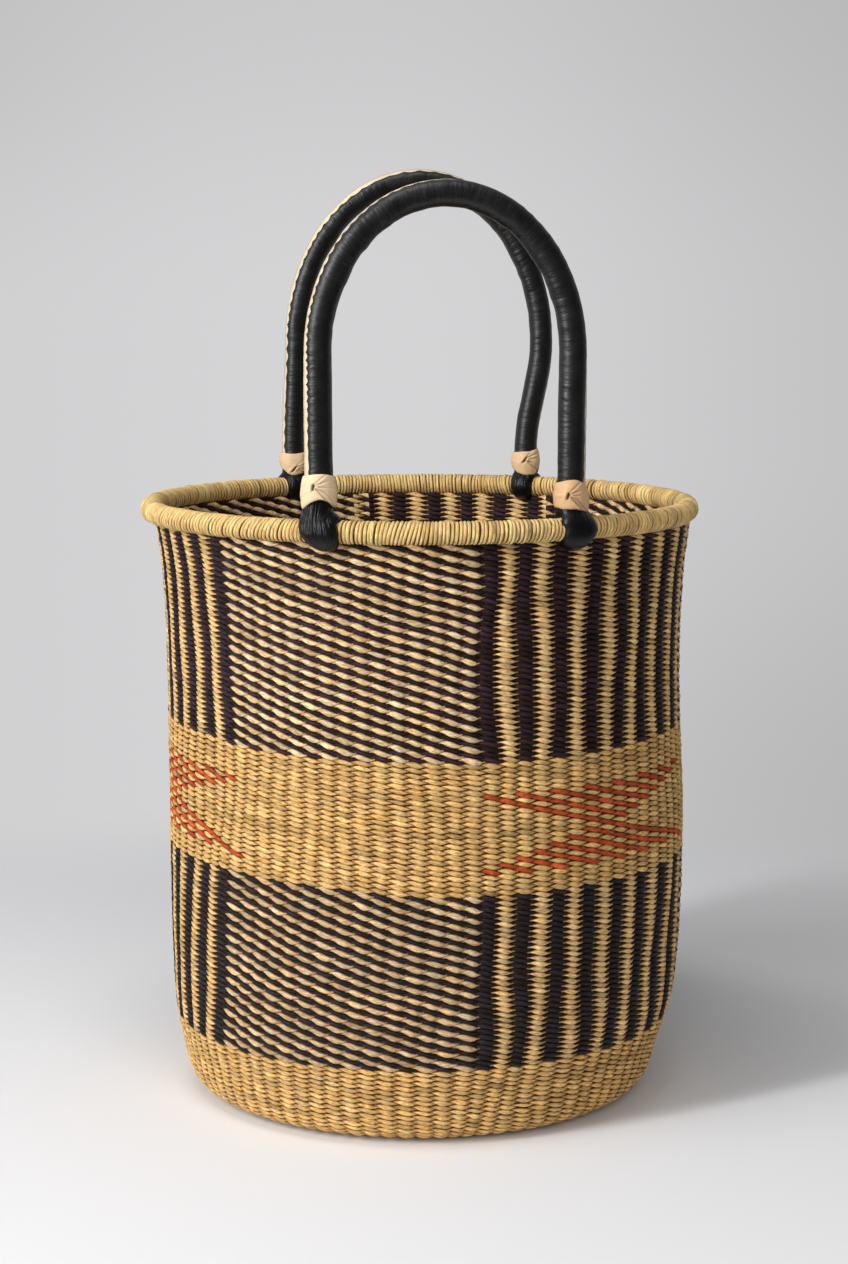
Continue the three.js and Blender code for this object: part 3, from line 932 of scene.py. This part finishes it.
def neck_reach(handle, corner, along, around):
    """How far the neck reaches from the rim's middle in each direction round the rim, found by halving."""
    face, _, far, _ = COLLARS[corner]["lower"]
    top = max(face, far) + 0.0024
    narrow, wide = handle["sleeve"] - 0.0001, handle["wrap"] * 0.86
    low = np.zeros(np.broadcast_shapes(along.shape, around.shape))
    high = np.full_like(low, 0.03)
    for _ in range(20):
        reach = (low + high) / 2
        height = reach * np.sin(around)
        half = np.interp(height, (0.004, top - 0.0045, top), (wide, narrow, narrow))
        inside = ((along / half) ** 2 + (reach * np.cos(around) / half) ** 2 < 1) & (height < top) & (height > 0)
        low, high = np.where(inside, reach, low), np.where(inside, high, reach)
    return low


def on_rim(distance, along, around, bearing):
    radial = RIM_RADIUS + distance * np.cos(around)[None]
    height = RIM_HEIGHT + distance * np.sin(around)[None]
    return rotated(radial, height, bearing + along / RIM_RADIUS)


class WrapFeet(bpy.types.Operator):
    """Wrap leather round the rim, where the feet of the handles stand, and draw it up into the collars"""

    bl_idname = "basket.wrap_feet"
    bl_label = "Wrap the feet"

    def execute(self, context):
        settings = context.scene.basket_leather
        seed = context.scene.basket_weave.seed
        for number, (corner, handle, side) in enumerate(corner_names()):
            name, pleated = f"foot_leather_{corner}", FEET[corner][5]
            # The lighter streaks on the foot leather are painted highlights along the pleats; its lighter patches are
            # wear
            wear_and_sheen_tone = (0.01, 0.0095, 0.009)
            leather = leather_finish(name, settings.black, wear_and_sheen_tone, 0.27, 0.0014 * pleated, 0.27, 0.2 * pleated)
            bearing = foot_bearing(handle, side)
            rings = foot_rings(np.random.default_rng(seed + 20 + number), handle, corner, bearing)
            piece = lay_leather(name, rings, leather, None, "black_leather", f"foot_wrap_{corner}", closed=True)
            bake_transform(piece)
        return {"FINISHED"}


class HandleLine:
    """Middle line of a handle in its own upright plane, from its left foot over the arch to its right."""

    def __init__(self, handle, spacing=0.0012):
        self.handle = handle
        height = np.linspace(handle["start"], handle["spring"], 200)
        drawn = eased(np.clip((height - handle["top"]) / (handle["spring"] - handle["top"]), 0, 1))
        reach = handle["foot"] + (handle["arch"] - handle["foot"]) * drawn
        middle = handle["shift"] + (handle["sway"] - handle["shift"]) * drawn
        left = np.stack([middle - reach, height], -1)
        right = np.stack([middle + reach, height], -1)[::-1]
        angle = np.linspace(np.pi, 0, 600)[1:-1]
        rise = handle["rise"] - handle["spring"]
        arch = np.stack([handle["arch"] * np.cos(angle) + handle["sway"], handle["spring"] + rise * np.sin(angle)], -1)
        line = np.concatenate([left, arch, right])
        run = lengths_along(line)
        self.run = np.linspace(0, run[-1], int(run[-1] / spacing))
        self.points = read_off(self.run, run, line)
        tangent = np.gradient(self.points, axis=0)
        for _ in range(3):
            tangent[1:-1] = (tangent[:-2] + tangent[1:-1] + tangent[2:]) / 3
        tangent[:2], tangent[-2:] = (0, 1), (0, -1)
        self.outward = unit(-right_of(tangent))

    def rings(self, radius, angle):
        """Rings across the line: angle 0 is the outer side of the arch and 90 degrees faces away from the basket."""
        flat = self.points[:, None] + self.outward[:, None] * (radius * np.cos(angle))[..., None]
        return in_place(self.handle, flat[..., 0], radius * np.sin(angle), flat[..., 1])

    def shell(self, radius, angle, inner):
        """Rings of a hollow tube, which may be open along one side."""
        radius = np.concatenate([radius, np.full_like(angle, inner)], 1)
        return self.rings(radius, np.concatenate([angle, angle[:, ::-1]], 1))


def in_place(handle, x, away, height):
    """Points of a handle's own plane, put where the handle stands."""
    turn = math.radians(handle["turn"])
    back = -(math.sqrt(RIM_RADIUS**2 - handle["foot"] ** 2) + away)
    across, along = x * math.cos(turn) - back * math.sin(turn), x * math.sin(turn) + back * math.cos(turn)
    return np.stack([across, along, RIM_HEIGHT + height], -1)


def sleeve_rings(settings, draw, line):
    handle, count, sides = line.handle, len(line.run), 56
    wave_length = settings.scallop * (1 + 0.22 * soft_noise(draw, count, 24))
    phase = 2 * np.pi * np.cumsum(line.run[1] / wave_length)
    height = 0.8 + 0.45 * soft_noise(draw, count, 18)
    scallop = height * (np.abs(np.sin(phase / 2)) * 2 - 1)
    share = np.linspace(0, 7, count)
    first, last = (
        np.maximum(np.radians(np.interp(share, range(8), handle[side]) + 5 * wave), 0.05)
        for side, wave in (("open_out", scallop), ("open_in", np.roll(scallop, 5)))
    )
    t = np.linspace(0, 1, sides)
    angle = first[:, None] + (2 * np.pi - last - first)[:, None] * t
    radius = handle["sleeve"] * (1 + 0.018 * soft_noise(draw, count, 14)[:, None] * np.cos(angle - 1))
    # No wrinkle goes down to the lining
    radius = np.maximum(radius + wrinkle_heights(settings, draw, line, angle), handle["sleeve"] - 0.00035)
    rounding = 0.00035 * (np.exp(-t * 26) + np.exp(-(1 - t) * 26))
    return line.shell(radius - rounding, angle, handle["sleeve"] - settings.sleeve_thickness)


def wrinkle_heights(settings, draw, line, angle):
    """Cross wrinkles, deepest where the arch is bent and on its inner side."""
    total = 0
    for spacing, weight in ((4.5, 0.7), (10.0, 1.2)):
        for centre in (1.2, 2.2, 3.2, 4.2, 5.2):
            across = soft_noise(draw, len(line.run), spacing)[:, None]
            total = total + weight * bell(angle - centre, 0.7) * across
    bent = np.clip((line.points[:, 1:] - 0.1) / 0.08, 0, 1)
    inside = 0.5 - 0.5 * np.cos(angle)
    return settings.wrinkle * total * (0.65 + 0.35 * bent + 0.9 * bent * inside)


def lining_rings(draw, line):
    sleeve = line.handle["sleeve"]
    angle = circle(28, 0.5) + np.zeros((len(line.run), 1))
    uneven = np.clip(soft_noise(draw, len(line.run), 3), -1, 1)[:, None] * np.cos(2 * angle)
    # The hide is drawn up a little along the legs
    low = np.clip((0.13 - line.points[:, 1:]) / 0.05, 0, 1)
    ridge = 0.0007 * low * np.exp((np.cos(angle) - 1) / 0.06)
    return line.shell(sleeve - 0.00055 + 0.00008 * uneven + ridge, angle, sleeve - 0.0023)


class CoverHandles(bpy.types.Operator):
    """Cover the handles: a pale lining and a black sleeve with a scalloped opening along the outer side"""

    bl_idname = "basket.cover_handles"
    bl_label = "Cover the handles"

    def execute(self, context):
        settings = context.scene.basket_leather
        seed = context.scene.basket_weave.seed
        black = leather_finish("sleeve_leather", settings.black, (0.011, 0.0105, 0.0103), 0.37, 0.0008, 0.6, fine=0.26)
        wear_and_sheen_tone = np.array(settings.cream) * (0.75, 0.52, 0.32)
        cream = leather_finish("lining_hide", settings.cream, wear_and_sheen_tone, 0.62, specular=0.3)
        for number, (name, handle) in enumerate(HANDLES.items()):
            draw = np.random.default_rng(seed + 40 + number)
            line = HandleLine(handle)
            for piece, rings, finish, slot, node in (
                ("sleeve_leather", sleeve_rings(settings, draw, line), black, "black_leather", "handle_sleeve"),
                ("lining_hide", lining_rings(draw, line), cream, "cream_lining", "sleeve_lining"),
            ):
                lay_leather(f"{piece}_{name}", rings, finish, f"{name}_handle", slot, f"{node}_{name}", stack=4)
        return {"FINISHED"}


def collar_rings(draw, handle, side, collar):
    """Rings from the lower to the upper edge and back inside, and how much painted shade each point gets."""
    steps, sides = 60, 160
    face = np.pi / 2 * handle["right"]
    # They start on the hidden side, where the grain has its seam
    angle = face + np.pi + circle(sides)
    from_face = (angle - face + np.pi) % (2 * np.pi) - np.pi
    facing, to_right = np.cos(from_face), -np.sin(from_face)
    quarters = np.stack([np.clip(v, 0, 1) ** 2 for v in (facing, to_right, -facing, -to_right)])
    top = collar["upper"] @ quarters
    clear = clear_height(handle, side, handle["collar"] * np.cos(angle), handle["collar"] * np.sin(angle))
    bottom = np.maximum(collar["lower"] @ quarters, clear) + 0.0001 * soft_noise(draw, sides, 9, True)
    t = np.linspace(0, 1, steps)[:, None]
    height = bottom + (top - bottom) * t
    bulge = np.interp(t, (0, 0.12, 0.45, 0.75, 0.93, 1), (-0.0009, -0.0005, 0.0001, -0.0006, -0.0014, -0.002))
    folds, painted_crease_shade = fold_marks(draw, handle, -from_face, height, collar)
    radius = handle["collar"] + bulge + folds + 0.00018 * soft_noise(draw, sides, 12, True)
    radius = radius - 0.0004 * (np.exp(-t * 40) + np.exp(-(1 - t) * 40))
    # Darker along the lower edge
    painted_crease_shade = np.maximum(painted_crease_shade, 0.6 * np.exp(-t * 30))
    inner = np.full((6, sides), handle["sleeve"] + 0.0001)
    back = np.linspace(1, 0, 6)[:, None]
    inner_height = bottom + 0.0003 + (top - bottom - 0.0006) * back
    radius, height = np.concatenate([radius, inner]), np.concatenate([height, inner_height])
    foot = side * handle["foot"] + handle["shift"]
    points = in_place(handle, foot + radius * np.cos(angle), radius * np.sin(angle), height)
    return points, np.concatenate([painted_crease_shade, 0 * inner])


def clear_height(handle, side, beside, away):
    """Lowest height at which the collar clears the foot leather and the curved rim while the handle swings."""
    outer, inner = np.clip(side * beside, 0, None), np.clip(-side * beside, 0, None)
    slope = handle["foot"] / math.sqrt(RIM_RADIUS**2 - handle["foot"] ** 2)
    bend = beside**2 / (2 * RIM_RADIUS) * (1 + slope**2) ** 1.5
    longest = FEET["front_left"][0]
    swell = (1 - np.clip(np.abs(beside) / longest, 0, 1) ** 2.8) ** 0.6
    leather = RIM_HALF + (handle["wrap"] - RIM_HALF) * swell
    back = outer * slope + bend
    inside = np.where(inner > 0, inner * slope - bend, 0) + COLLAR_CLEARANCE
    height = np.full_like(beside, 0.012)
    for _ in range(6):
        lowest = np.clip(np.arctan2(away, height) + SWING_IN, 0, np.pi / 2)
        ahead = np.sqrt(np.maximum(COLLAR_CLEARANCE**2 - (back * np.sin(lowest)) ** 2, 0))
        needed = np.maximum(np.maximum(leather + 0.0003, inside), back * np.cos(lowest) + ahead)
        height = np.sqrt(np.maximum(needed**2 - away**2, 0))
    return height


def fold_marks(draw, handle, turned, height, collar):
    """The slit, and the creases that fan out from it to the right: their height, and the painted shade in them."""
    offset, level, tilt = collar["slit"]
    across = turned[None] * handle["collar"] - offset
    up = height - level
    lean = across - tilt * up
    painted_dark = slot = bell(lean, 0.0009, 4) * bell(up, 0.0022, 4)
    total = -0.0021 * slot + 0.0005 * bell(lean + 0.0019, 0.0014) * bell(up, 0.0045)
    strength = collar["creased"]
    for slope in (0.95, 0.4, -0.1, -0.6, -1.2):
        slope = slope + draw.uniform(-0.1, 0.1)
        curve = up - slope * across * (1 - 22 * np.clip(across, 0, 0.02))
        off = curve / math.sqrt(1 + slope**2)
        ahead = np.clip(across / 0.0015, 0, 1) * bell(across, draw.uniform(0.008, 0.014))
        rise = strength * draw.uniform(0.0004, 0.0008)
        total = total + rise * ahead * (bell(off, 0.0008) - 1.1 * bell(off - 0.001, 0.0005))
        painted_dark = np.maximum(painted_dark, 0.6 * strength * ahead * bell(off - 0.001, 0.00038))
    for _ in range(11):
        at, slope = draw.uniform(-0.013, 0.005), draw.uniform(-1.1, -0.6)
        off = (up - at - slope * across) / math.sqrt(1 + slope**2)
        ahead = np.clip((across - 0.004) / 0.003, 0, 1)
        total = total - 0.00022 * ahead * bell(off, 0.0004)
        painted_dark = np.maximum(painted_dark, 0.34 * ahead * bell(off, 0.00035))
    front = bell(turned[None], 1.3, 6)
    return total * front, painted_dark * front


def tuck_rings(handle, side, slit):
    """A small tongue of leather that comes out of the slit and lies on the collar."""
    offset, level, _ = slit
    t = np.linspace(0, 1, 14)[:, None]
    along = offset + 0.0012 + 0.0026 * t
    half = 0.0002 + 0.0009 * np.sin(np.pi * np.clip(t * 0.82 + 0.14, 0, 1)) ** 0.7
    around = circle(12)
    up = level + 0.0004 * np.sin(3 * t) + half * np.cos(around)
    lift = handle["collar"] - 0.0006 + 0.0005 * np.sin(np.pi * t)
    out = lift + 0.00055 * np.sin(around) - 0.0002 * np.cos(around) ** 2
    angle = np.pi / 2 * handle["right"] - along / handle["collar"]
    foot = side * handle["foot"] + handle["shift"]
    return in_place(handle, foot + out * np.cos(angle), out * np.sin(angle), up)


class FitCollars(bpy.types.Operator):
    """Fit the collars: a band of undyed leather round each lower end, its end tucked through a slit"""

    bl_idname = "basket.fit_collars"
    bl_label = "Fit the collars"

    def execute(self, context):
        settings = context.scene.basket_leather
        seed = context.scene.basket_weave.seed
        for number, (corner, handle, side) in enumerate(corner_names()):
            collar = COLLARS[corner]
            hide = np.clip(np.array(settings.tan) * collar["tone"], 0, 0.9)
            tan = leather_finish(f"collar_leather_{corner}", hide, hide * (0.74, 0.6, 0.48), 0.5, 0.0003, 0.45, 0.35)
            ends = f"{corner.split('_')[0]}_handle", "tan_leather"
            rings, painted_crease_shade = collar_rings(np.random.default_rng(seed + 60 + number), handle, side, collar)
            piece = lay_leather(f"collar_leather_{corner}", rings, tan, *ends, f"collar_{corner}", closed=True)
            # Painted shade in the slit and the creases, and darker along the lower edge
            add_attribute(piece, "painted_crease_shade", "FLOAT", "POINT", painted_crease_shade)
            tuck = tuck_rings(handle, side, collar["slit"])
            lay_leather(f"collar_end_{corner}", tuck, tan, *ends, f"collar_tuck_{corner}")
        return {"FINISHED"}


class FinishCores(bpy.types.Operator):
    """Give the straw inside the handles its finish"""

    bl_idname = "basket.finish_cores"
    bl_label = "Finish the cores"

    def execute(self, context):
        look = Finish("bundled_straw", specular=0.3)
        fibres = look.noise(look.scaled(look.place(), (1500, 1500, 60)), detail=3, roughness=0.6)
        look.set("Base Color", look.mix(fibres, (0.3, 0.18, 0.07, 1), (0.7, 0.5, 0.25, 1)))
        look.set("Roughness", look.spread(fibres, 0.3, 0.7, 0.8, 0.6))
        look.set("Normal", look.bump(fibres, 0.0004, 0.8))
        for name in ("handle_core_front", "handle_core_rear"):
            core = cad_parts[name]
            core.data.materials.clear()
            core.data.materials.append(look.material)
        return {"FINISHED"}


# The studio


def add_camera(scene):
    data = bpy.data.cameras.new("camera")
    data.sensor_width, data.lens = FRAME_HEIGHT, LENS
    data.clip_start, data.clip_end = 0.1, 30
    camera = bpy.data.objects.new("camera", data)
    scene.collection.objects.link(camera)
    camera.location = CAMERA_AT
    camera.rotation_euler = (math.pi / 2 - VIEW_TILT, 0, VIEW_TURN)
    scene.camera = camera


def add_light(name, energy, size, at):
    """A rectangular lamp that faces the middle of the basket."""
    data = bpy.data.lights.new(name, "AREA")
    data.energy, data.shape = energy, "RECTANGLE"
    data.size, data.size_y = size
    lamp = bpy.data.objects.new(name, data)
    bpy.context.scene.collection.objects.link(lamp)
    lamp.location = at
    lamp.rotation_euler = (Vector((0, 0, 0.25)) - Vector(at)).to_track_quat("-Z", "Y").to_euler()
    return lamp


def add_floor(settings):
    """A round floor that fades into the backdrop away from the basket."""
    rings, sides = 24, 96
    reach = (3.0 * (np.arange(rings + 1) / rings) ** 2 + 0.001)[:, None] * np.ones(sides)
    points = rotated(reach, 0 * reach, circle(sides) + 0 * reach)
    index = np.arange(reach.size).reshape(reach.shape)
    quads = np.stack([index[:-1], index[1:], np.roll(index[1:], -1, 1), np.roll(index[:-1], -1, 1)], -1)
    floor = add_object("floor", points.reshape(-1, 3), quads.reshape(-1, 4))
    look = Finish("pale_floor", roughness=0.9, specular=0.2)
    look.set("Base Color", rgba(settings.floor))
    distance = look.node("ShaderNodeVectorMath", look.place(), operation="LENGTH").outputs["Value"]
    clear = look.node("ShaderNodeBsdfTransparent").outputs[0]
    mixed = look.node("ShaderNodeMixShader", look.ramp(distance, 0.45, 1.0), look.shader.outputs[0], clear)
    look.links.new(mixed.outputs[0], look.nodes["Material Output"].inputs["Surface"])
    floor.data.materials.append(look.material)


def set_world(scene, settings):
    """Even light from all sides, and a grey backdrop for whatever sees it: the camera, gloss and glass."""
    world = bpy.data.worlds.new("studio")
    scene.world = world
    world.use_nodes = True
    sky = Nodes(world.node_tree)
    x, y, z = sky.node("ShaderNodeSeparateXYZ", sky.node("ShaderNodeTexCoord").outputs["Generated"]).outputs
    path = sky.node("ShaderNodeLightPath").outputs
    # Painted shade on the backdrop: darker high up, far to the left and far to the right
    strength = sky.math("MULTIPLY", sky.ramp(z, -0.02, 0.12, 1.0, 0.88), sky.ramp(x, 0.06, 0.3, 1.0, 0.8))
    strength = sky.math("MULTIPLY", strength, sky.ramp(x, -0.14, 0.05, 0.95, 1.0))
    darker = []
    # Painted shadow low on the right of the backdrop, where the basket's shadow on the floor fades into it, and painted
    # shade high on the left
    for side, level, share in (((0.05, 0.2), (-0.07, -0.21), 0.13), ((0.0, -0.13), (-0.03, 0.08), 0.06)):
        darker.append((sky.ramp(x, *side), sky.ramp(z, *level), share))
    # Gloss sees the backdrop behind the basket, and the darker room on the camera's side
    darker.append((sky.ramp(y, -0.2, 0.5, 0.84, 0.0), path["Is Glossy Ray"], 1.0))
    for first, second, share in darker:
        left = sky.math("MULTIPLY_ADD", sky.math("MULTIPLY", first, second), -share, 1.0)
        strength = sky.math("MULTIPLY", strength, left)
    seen = sky.node("ShaderNodeBackground", rgba(settings.backdrop), strength).outputs[0]
    ambient = sky.node("ShaderNodeBackground", (1, 1, 1, 1), settings.ambient).outputs[0]
    either = sky.math("MAXIMUM", path["Is Camera Ray"], path["Is Glossy Ray"])
    either = sky.math("MAXIMUM", either, path["Is Transmission Ray"])
    mix = sky.node("ShaderNodeMixShader", either, ambient, seen)
    sky.links.new(mix.outputs[0], sky.nodes["World Output"].inputs["Surface"])


class SetStudio(bpy.types.Operator):
    """Set up the floor, the backdrop, the lights and the camera"""

    bl_idname = "basket.set_studio"
    bl_label = "Set up the studio"

    def execute(self, context):
        settings = context.scene.basket_studio
        scene = context.scene
        scene.view_settings.view_transform = "Standard"
        add_camera(scene)
        add_floor(settings)
        set_world(scene, settings)
        add_light("key_light", settings.key, (0.9, 2.1), (-2.03, -1.27, 1.32))
        add_light("strip_light", settings.strip, (0.2, 2.0), (-1.9, -1.35, 1.2))
        add_light("top_light", settings.top, (1.2, 0.4), (-0.35, -0.55, 2.5))
        fill = add_light("fill_light", settings.fill, (1.8, 1.8), (0.25, -2.4, 1.15))
        # The fill only lifts the shadows
        fill.visible_glossy = False
        return {"FINISHED"}


class BasketPanel(bpy.types.Panel):
    """The steps of the basket, in their order, and their settings"""

    bl_idname = "VIEW3D_PT_basket"
    bl_label = "Woven basket"
    bl_space_type = "VIEW_3D"
    bl_region_type = "UI"
    bl_category = "Basket"

    def draw(self, context):
        for group in SETTINGS:
            box = self.layout.box()
            settings = getattr(context.scene, group)
            for name in settings.bl_rna.properties.keys():
                if name not in ("rna_type", "name"):
                    box.prop(settings, name)
        for step in STEPS:
            self.layout.operator(step.bl_idname)


SETTINGS = {
    "basket_weave": WeaveSettings,
    "basket_rim": RimSettings,
    "basket_leather": LeatherSettings,
    "basket_studio": StudioSettings,
}
STEPS = (WeaveBody, LashRim, WrapFeet, CoverHandles, FitCollars, FinishCores, SetStudio)


def register():
    for group in (*SETTINGS.values(), *STEPS, BasketPanel):
        bpy.utils.register_class(group)
    for name, group in SETTINGS.items():
        setattr(bpy.types.Scene, name, PointerProperty(type=group))


def unregister():
    for name in SETTINGS:
        delattr(bpy.types.Scene, name)
    for group in (BasketPanel, *reversed(STEPS), *SETTINGS.values()):
        bpy.utils.unregister_class(group)


def main():
    register()
    for step in STEPS:
        group, name = step.bl_idname.split(".")
        getattr(getattr(bpy.ops, group), name)()


if __name__ == "__main__":
    main()
